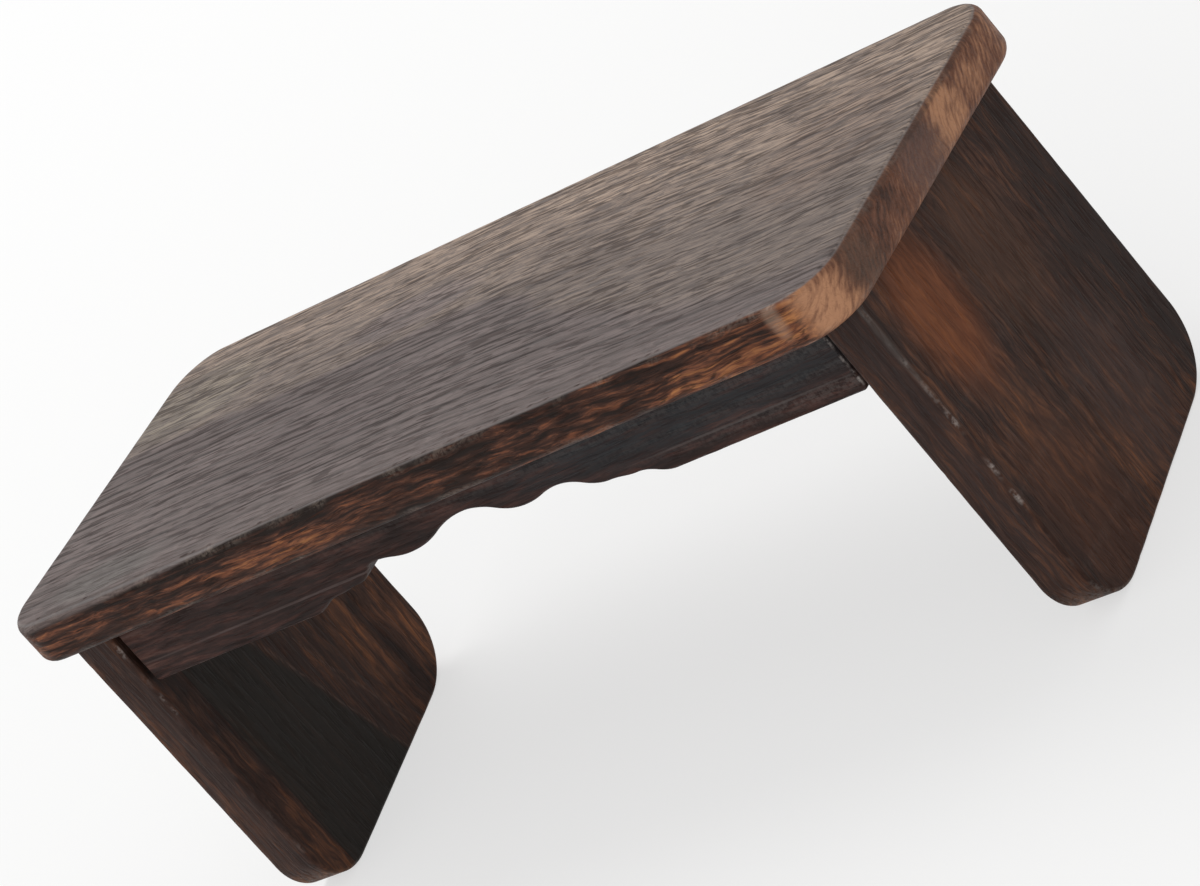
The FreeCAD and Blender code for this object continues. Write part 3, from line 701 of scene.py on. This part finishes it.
def plank(name, loop, place, thickness, rim, wear):
    # a board with the outline loop, from w = 0 to its thickness, with rims rounded by their radius
    ways = outwards(loop)
    nicks = nicksAlong(loop, thickness, wear)
    rounding = []
    for k in range(rim["steps"] + 1):
        angle = math.pi / 2 * k / rim["steps"]
        inset, w = rim["radius"] * (1 - math.sin(angle)), rim["radius"] * (1 - math.cos(angle))
        rounding.append((inset, w, math.sin(2 * angle)))
    straight = thickness - 2 * rim["radius"]
    profile = list(rounding)
    for k in range(1, rim["sideSteps"]):
        profile.append((0.0, rim["radius"] + straight * k / rim["sideSteps"], 0.0))
    profile += [(inset, thickness - w, crest) for inset, w, crest in reversed(rounding)]

    mesh = bmesh.new()
    wearMark = mesh.verts.layers.float.new("wear")
    layers = []
    for inset, w, crest in profile:
        layer = []
        for at, way in zip(loop, ways):
            edge = at - way * inset
            point = Vector((edge.x, edge.y, w))
            uneven = noise.noise(point * wear["grainScale"]) * 0.5 + 0.5
            onRim = min(1.0, crest * 2 + dentBeside)
            dent = dentAt(point, nicks) * onRim
            slant = rimSlant if w < thickness / 2 else -rimSlant
            inward = Vector((-way.x, -way.y, slant)).normalized()
            vertex = mesh.verts.new(place @ (point + inward * (dent + crest * wear["rubbed"] * uneven)))
            rub = crest * wear["paleEdge"] * max(0.0, uneven * 2 - rubStart)
            vertex[wearMark] = min(1.0, max(dent / wear["paleDepth"], rub))
            layer.append(vertex)
        layers.append(layer)
    for low, high in zip(layers, layers[1:]):
        for k, vertex in enumerate(low):
            following = (k + 1) % len(low)
            face = mesh.faces.new((vertex, low[following], high[following], high[k]))
            face.smooth = True
    back = place.inverted()
    for layer in (layers[0], layers[-1]):
        flat = [[back @ vertex.co for vertex in layer]]
        for triangle in tessellate_polygon(flat):
            mesh.faces.new([layer[k] for k in triangle])
    bmesh.ops.recalc_face_normals(mesh, faces=mesh.faces)
    data = bpy.data.meshes.new(name)
    mesh.to_mesh(data)
    mesh.free()
    piece = bpy.data.objects.new(name, data)
    bpy.context.scene.collection.objects.link(piece)
    return piece


seatPlank = {"halfLength": 0.22, "halfDepth": 0.085, "thickness": 0.02, "corner": 0.022, "step": 0.0022}
seatRim = {"radius": 0.0035, "steps": 5, "sideSteps": 5}
seatWear = {
    "seed": 4, "count": 14, "length": (0.001, 0.003), "depth": (0.0001, 0.0003),
    "named": [((0.1965, -0.0845, 0.02), 0.005, 0.0006), ((0.2005, -0.0840, 0.0), 0.004, 0.0005)],
    "grainScale": 110.0, "rubbed": 0.0003, "paleDepth": 0.0008, "paleEdge": 0.25,
}


def makeSeat():
    length, depth, corner = seatPlank["halfLength"], seatPlank["halfDepth"], seatPlank["corner"]
    ends = ((-1, -1), (1, -1), (1, 1), (-1, 1))
    corners = [(side * length, end * depth, corner) for side, end in ends]
    loop = roundedLoop(corners, seatPlank["step"])
    return plank("seatPlank", loop, benchFromSeat, seatPlank["thickness"], seatRim, seatWear)


apronRail = {
    "halfLength": 0.1895, "height": 0.0325, "thickness": 0.018, "back": -0.047, "corner": 0.002,
    "step": 0.0016,
    # each curve of the lower edge from the middle outwards: its width, how far it goes down, and how much of
    # the bow's offset to the left it takes up
    "offset": 0.0042,
    "bow": [
        (0.031, 0.0073, 1), (0.018, -0.0024, 0), (0.018, 0.0062, -1), (0.013, 0.0012, 0), (0.017, 0.0042, 0),
    ],
}
apronRim = {"radius": 0.001, "steps": 3, "sideSteps": 4}
apronWear = {
    "seed": 9, "count": 10, "length": (0.001, 0.003), "depth": (0.0001, 0.0003),
    "named": [
        ((0.1895, -0.010, 0.018), 0.005, 0.0004),
        ((0.1895, -0.019, 0.018), 0.004, 0.0004),
        ((0.1895, -0.027, 0.018), 0.005, 0.0006),
    ],
    "grainScale": 150.0, "rubbed": 0.0002, "paleDepth": 0.0006, "paleEdge": 0.2,
}


def bowDrop(x):
    # how far the apron's lower edge lies below the seat: S-shaped curves of two arcs each
    shift = -math.copysign(apronRail["offset"], x)
    drop = apronRail["height"] - sum(fall for _, fall, _ in apronRail["bow"])
    reach = 0.0
    for width, fall, share in apronRail["bow"]:
        width += share * shift
        if abs(x) <= reach + width:
            radius = (width * width + fall * fall) / (4 * abs(fall))
            fromStart = abs(x) - reach
            nearer = min(fromStart, width - fromStart)
            rise = math.copysign(radius - math.sqrt(radius * radius - nearer * nearer), fall)
            return drop + (rise if fromStart < width / 2 else fall - rise)
        reach += width
        drop += fall
    return drop


def makeApron():
    half, step, corner = apronRail["halfLength"], apronRail["step"], apronRail["corner"]
    low, bowEnd = -apronRail["height"], sum(width for width, _, _ in apronRail["bow"])
    count = round(2 * bowEnd / step)
    bow = [(x, -bowDrop(x), 0) for x in (-bowEnd + 2 * bowEnd * k / count for k in range(count + 1))]
    loop = roundedLoop([(-half, 0, 0), (-half, low, corner), *bow, (half, low, corner), (half, 0, 0)], step)
    # u along the bench, v up and w to the front
    axes = Matrix(((1, 0, 0, 0), (0, 0, -1, apronRail["back"]), (0, 1, 0, 0), (0, 0, 0, 1)))
    return plank("apronRail", loop, benchFromSeat @ axes, apronRail["thickness"], apronRim, apronWear)


legPanel = {
    "front": -0.067, "back": 0.061, "top": -0.0002, "frontLength": 0.14899, "thickness": 0.02, "inner": 0.192,
    "footFront": 0.020, "footBack": 0.028, "step": 0.002,
}
legRim = {"radius": 0.0016, "steps": 4, "sideSteps": 5}
legWear = {
    "count": 12, "length": (0.001, 0.003), "depth": (0.0001, 0.0003),
    "grainScale": 120.0, "rubbed": 0.0002, "paleDepth": 0.0007,
}
leftLegWear = {
    **legWear, "seed": 15, "paleEdge": 0.25,
    "named": [
        ((-0.067, -0.014, 0.0), 0.005, 0.0006),
        ((-0.067, -0.039, 0.0), 0.003, 0.0004),
        ((-0.067, -0.046, 0.0), 0.003, 0.0004),
    ],
}
rightLegWear = {
    **legWear, "seed": 21, "paleEdge": 0.45,
    "named": [
        ((-0.067, -0.0275, 0.02), 0.003, 0.0004),
        ((-0.067, -0.0545, 0.02), 0.005, 0.0006),
        ((-0.067, -0.0765, 0.02), 0.004, 0.0007),
        ((-0.067, -0.0905, 0.02), 0.005, 0.0006),
        ((-0.064, -0.1270, 0.02), 0.004, 0.0006),
    ],
}


def makeLeg(side):
    backLength = legPanel["frontLength"] - (legPanel["back"] - legPanel["front"]) * math.tan(stand["slant"])
    corners = [
        (legPanel["front"], legPanel["top"], 0),
        (legPanel["front"], -legPanel["frontLength"], legPanel["footFront"]),
        (legPanel["back"], -backLength, legPanel["footBack"]),
        (legPanel["back"], legPanel["top"], 0),
    ]
    loop = roundedLoop(corners, legPanel["step"])
    # u to the back, v up and w outwards from the leg's inner face
    axes = Matrix(((0, 0, side, side * legPanel["inner"]), (1, 0, 0, 0), (0, 1, 0, 0), (0, 0, 0, 1)))
    name, wear = ("rightLegPanel", rightLegWear) if side > 0 else ("leftLegPanel", leftLegWear)
    return plank(name, loop, benchFromSeat @ axes, legPanel["thickness"], legRim, wear)


# Screws

# One tree makes the screws of one metal: a countersunk slotted head on a shank at each spot, each turned by
# chance about its own axis.
screwKinds = {
    "leaf": {
        "headRadius": 0.0028, "shankRadius": 0.0014, "length": 0.0138,
        "slotWidth": 0.0007, "slotDepth": 0.0007,
    },
    "rail": {
        "headRadius": 0.0040, "shankRadius": 0.0020, "length": 0.0390,
        "slotWidth": 0.0010, "slotDepth": 0.0012,
    },
}
# sides of the head and of the shank, the slot's length for the head's radius, and the shank's radii at its
# tip and at its root for its full radius
screwForm = {"headSides": 28, "shankSides": 20, "slotReach": 2.4, "tip": 0.35, "root": 0.98}
# points of a CAD screw this near are one, and its head is what lies this near to its outermost points
weldReach = 1e-6
headReach = 1e-5


def screwSpots(node, wayIn):
    # the middle of each screw's head, from the loose pieces of the CAD node
    mesh = bmesh.new()
    mesh.from_mesh(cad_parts[node].data)
    bmesh.ops.remove_doubles(mesh, verts=mesh.verts, dist=weldReach)
    left = set(mesh.verts)
    spots = []
    while left:
        queue = [left.pop()]
        points = []
        while queue:
            vertex = queue.pop()
            points.append(vertex.co.copy())
            for edge in vertex.link_edges:
                other = edge.other_vert(vertex)
                if other in left:
                    left.remove(other)
                    queue.append(other)
        depths = [point.dot(wayIn) for point in points]
        head = [p for p, depth in zip(points, depths) if depth < min(depths) + headReach]
        low = Vector([min(p[axis] for p in head) for axis in range(3)])
        high = Vector([max(p[axis] for p in head) for axis in range(3)])
        spots.append((low + high) / 2)
    mesh.free()
    return sorted(spots, key=lambda p: (round(p.x, 4), round(p.y, 4), round(p.z, 4)))


def screwTree(look):
    tree = bpy.data.node_groups.new("slotted " + look["name"], "GeometryNodeTree")
    interface = tree.interface
    interface.new_socket("Spots", in_out="INPUT", socket_type="NodeSocketGeometry")
    for label in ("Head Radius", "Shank Radius", "Length", "Slot Width", "Slot Depth"):
        interface.new_socket(label, in_out="INPUT", socket_type="NodeSocketFloat")
    interface.new_socket("Way In", in_out="INPUT", socket_type="NodeSocketRotation")
    interface.new_socket("Seed", in_out="INPUT", socket_type="NodeSocketInt")
    interface.new_socket("Screws", in_out="OUTPUT", socket_type="NodeSocketGeometry")
    given = put(tree, "NodeGroupInput").outputs

    headHeight = calc(tree, "SUBTRACT", given["Head Radius"], given["Shank Radius"])
    cone = put(tree, "GeometryNodeMeshCone", {
        "Vertices": screwForm["headSides"], "Depth": headHeight,
        "Radius Top": given["Shank Radius"], "Radius Bottom": given["Head Radius"],
    }).outputs["Mesh"]
    # half of the slot's block stands out of the head
    slotSize = put(tree, "ShaderNodeCombineXYZ", {
        "X": calc(tree, "MULTIPLY", given["Head Radius"], screwForm["slotReach"]), "Y": given["Slot Width"],
        "Z": calc(tree, "MULTIPLY", given["Slot Depth"], 2.0),
    }).outputs[0]
    slot = put(tree, "GeometryNodeMeshCube", {"Size": slotSize})
    head = put(tree, "GeometryNodeMeshBoolean", {"Mesh 1": cone}, operation="DIFFERENCE", solver="EXACT")
    tree.links.new(slot.outputs["Mesh"], head.inputs["Mesh 2"])
    shankLength = calc(tree, "SUBTRACT", given["Length"], headHeight)
    shank = put(tree, "GeometryNodeMeshCone", {
        "Vertices": screwForm["shankSides"], "Depth": shankLength,
        "Radius Top": calc(tree, "MULTIPLY", given["Shank Radius"], screwForm["tip"]),
        "Radius Bottom": calc(tree, "MULTIPLY", given["Shank Radius"], screwForm["root"]),
    })
    shankPlace = put(tree, "ShaderNodeCombineXYZ", {"Z": headHeight}).outputs[0]
    shank = put(tree, "GeometryNodeTransform", {"Geometry": shank.outputs["Mesh"], "Translation": shankPlace})
    screw = put(tree, "GeometryNodeJoinGeometry")
    tree.links.new(shank.outputs["Geometry"], screw.inputs["Geometry"])
    tree.links.new(head.outputs["Mesh"], screw.inputs["Geometry"])

    spin = put(tree, "FunctionNodeRandomValue", {"Seed": given["Seed"]}, data_type="FLOAT")
    spin.inputs[3].default_value = math.tau
    turn = put(tree, "FunctionNodeAxisAngleToRotation", {"Axis": (0, 0, 1), "Angle": spin.outputs[1]})
    turned = put(tree, "FunctionNodeRotateRotation", {
        "Rotation": given["Way In"], "Rotate By": turn.outputs[0],
    }, rotation_space="LOCAL")
    placed = put(tree, "GeometryNodeInstanceOnPoints", {
        "Points": given["Spots"], "Instance": screw.outputs[0], "Rotation": turned.outputs[0],
    })
    real = put(tree, "GeometryNodeRealizeInstances", {"Geometry": placed.outputs[0]})
    done = put(tree, "GeometryNodeSetMaterial", {"Geometry": real.outputs[0], "Material": brushedMetal(look)})
    put(tree, "NodeGroupOutput", {"Screws": done.outputs[0]})
    return tree


def makeScrews(name, tree, kind, node, wayIn, seed):
    base = bpy.data.meshes.new(name + "Spots")
    base.from_pydata(screwSpots(node, wayIn), [], [])
    maker = bpy.data.objects.new(name + "Maker", base)
    bpy.context.scene.collection.objects.link(maker)
    modifier = maker.modifiers.new("screws", "NODES")
    modifier.node_group = tree
    look = screwKinds[kind]
    given = {
        "Head Radius": look["headRadius"], "Shank Radius": look["shankRadius"], "Length": look["length"],
        "Slot Width": look["slotWidth"], "Slot Depth": look["slotDepth"],
        "Way In": wayIn.to_track_quat("Z", "Y").to_euler(), "Seed": seed,
    }
    for item in tree.interface.items_tree:
        if item.in_out == "INPUT" and item.name in given:
            modifier[item.identifier] = given[item.name]
    bpy.context.view_layer.update()
    depsgraph = bpy.context.evaluated_depsgraph_get()
    data = bpy.data.meshes.new_from_object(maker.evaluated_get(depsgraph))
    bpy.data.objects.remove(maker)
    piece = bpy.data.objects.new(name, data)
    bpy.context.scene.collection.objects.link(piece)
    return piece


# The bench

woods = {
    "seat": seatTopWood(seatWood),
    "apron": boardWood(apronWood),
    "leg": boardWood(legWood),
    "rail": boardWood(railWood),
    "dowel": boardWood(dowelWood),
}
brass = brushedMetal(hingeMetal)
steel = brushedMetal(pinMetal)
print("materials made")


def settle(piece, body, slot, material, *nodes):
    if material:
        piece.data.materials.clear()
        piece.data.materials.append(material)
    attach(piece, body)
    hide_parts(*nodes)


settle(makeSeat(), "seat", "seat_wood", woods["seat"], "seat_board")
settle(makeApron(), "seat", "apron_wood", woods["apron"], "apron")
for side, word in ((-1, "left"), (1, "right")):
    settle(makeLeg(side), word + "_leg", "leg_wood", woods["leg"], word + "_leg")
print("planks made")

up = benchFromSeat.to_3x3() @ Vector((0, 0, 1))
brassScrews, steelScrews = screwTree(screwBrass), screwTree(screwSteel)
for side, word in ((-1, "left"), (1, "right")):
    outward = Vector((side, 0, 0))
    # the way in is up for the screws under the seat and outwards for those of the leg
    kinds = (
        ("SeatLeafScrews", "_seat_leaf_screws", brassScrews, "leaf", up, 3, "seat", "brass_screws"),
        ("LegLeafScrews", "_leg_leaf_screws", brassScrews, "leaf", outward, 8, word + "_leg", "brass_screws"),
        ("RailScrews", "_rail_screws", steelScrews, "rail", up, 13, "seat", "steel_screws"),
    )
    for title, ending, tree, kind, wayIn, seed, body, slot in kinds:
        piece = makeScrews(word + title, tree, kind, word + ending, wayIn, seed + side)
        settle(piece, body, slot, None, word + ending)
print("screws made")

for name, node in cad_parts.items():
    if name.endswith("hinge_rail"):
        material = woods["rail"]
    elif name == "apron_dowels":
        material = woods["dowel"]
    elif name.endswith("_pin"):
        material = steel
    elif name.endswith("_leaf"):
        material = brass
    else:
        continue
    node.data.materials.clear()
    node.data.materials.append(material)
print("hinges and rails finished")


# Studio

studio = {
    # the floor is lit paper by the bench and turns plain white further out
    "floor": "fbfbfa", "floorSize": 9.0, "floorLift": 0.6, "fade": (0.5, 1.8),
    "ambient": 0.52,
    "keyPower": 26.0, "keySize": 1.6, "keyFrom": (-1.1, 0.9, 2.2),
    "fillPower": 13.0, "fillSize": 1.8, "fillFrom": (1.0, -2.0, 1.0),
    "lampTarget": (0, 0, 0.08),
}
photo = {
    "azimuth": math.radians(47.228), "elevation": math.radians(23.708), "roll": math.radians(-46.312),
    "distance": 2.0880, "target": (-0.0001, 0.0032, 0.0904), "lens": 169.95,
    "sensor": 36, "farthest": 30,
}


def makeFloor():
    mesh = bmesh.new()
    bmesh.ops.create_grid(mesh, x_segments=8, y_segments=8, size=studio["floorSize"])
    data = bpy.data.meshes.new("floor")
    mesh.to_mesh(data)
    mesh.free()
    floor = bpy.data.objects.new("floor", data)
    bpy.context.scene.collection.objects.link(floor)
    material, tree = newMaterial("floor")
    inputs = {"Base Color": tint(studio["floor"]), "Roughness": 0.9, "Specular IOR Level": 0.1}
    paper = put(tree, "ShaderNodeBsdfPrincipled", inputs)
    white = put(tree, "ShaderNodeEmission", {"Color": (1, 1, 1, 1), "Strength": 1.0})
    path = put(tree, "ShaderNodeLightPath").outputs
    seen = calc(tree, "MAXIMUM", path["Is Camera Ray"], path["Is Glossy Ray"])
    away = vectorCalc(tree, "LENGTH", put(tree, "ShaderNodeTexCoord").outputs["Object"])
    lift = calc(tree, "MULTIPLY", seen, grade(tree, away, *studio["fade"], studio["floorLift"], 1.0))
    both = put(tree, "ShaderNodeMixShader", {0: lift, 1: paper.outputs[0], 2: white.outputs[0]})
    put(tree, "ShaderNodeOutputMaterial", {"Surface": both.outputs[0]})
    data.materials.append(material)


def makeWorld():
    # the room's light, and a plain white behind whatever looks past the floor
    world = bpy.data.worlds.new("studio")
    world.use_nodes = True
    tree = world.node_tree
    tree.nodes.clear()
    path = put(tree, "ShaderNodeLightPath").outputs
    seen = calc(tree, "MAXIMUM", path["Is Camera Ray"], path["Is Glossy Ray"])
    seen = calc(tree, "MAXIMUM", seen, path["Is Transmission Ray"])
    room = put(tree, "ShaderNodeBackground", {"Color": (1, 1, 1, 1), "Strength": studio["ambient"]})
    white = put(tree, "ShaderNodeBackground", {"Color": (1, 1, 1, 1), "Strength": 1.0})
    both = put(tree, "ShaderNodeMixShader", {0: seen, 1: room.outputs[0], 2: white.outputs[0]})
    put(tree, "ShaderNodeOutputWorld", {"Surface": both.outputs[0]})
    bpy.context.scene.world = world


def softLamp(name, power, size, place):
    light = bpy.data.lights.new(name, "AREA")
    light.shape = "DISK"
    light.size = size
    light.energy = power
    lamp = bpy.data.objects.new(name, light)
    bpy.context.scene.collection.objects.link(lamp)
    lamp.location = place
    lamp.rotation_euler = (Vector(studio["lampTarget"]) - Vector(place)).to_track_quat("-Z", "Y").to_euler()


def makeCamera():
    lens = bpy.data.cameras.new("photo")
    lens.lens = photo["lens"]
    lens.sensor_width = photo["sensor"]
    lens.clip_end = photo["farthest"]
    camera = bpy.data.objects.new("photo", lens)
    bpy.context.scene.collection.objects.link(camera)
    turn, tip = photo["azimuth"], photo["elevation"]
    back = Vector((math.sin(turn) * math.cos(tip), -math.cos(turn) * math.cos(tip), math.sin(tip)))
    level = Vector((0, 0, 1)).cross(back).normalized()
    high = back.cross(level)
    right = level * math.cos(photo["roll"]) + high * math.sin(photo["roll"])
    above = back.cross(right)
    axes = Matrix((right, above, back)).transposed().to_4x4()
    camera.matrix_world = Matrix.Translation(Vector(photo["target"]) + back * photo["distance"]) @ axes
    bpy.context.scene.camera = camera


makeFloor()
makeWorld()
softLamp("key", studio["keyPower"], studio["keySize"], studio["keyFrom"])
softLamp("fill", studio["fillPower"], studio["fillSize"], studio["fillFrom"])
makeCamera()
bpy.context.scene.view_settings.view_transform = "Standard"
print("studio made")
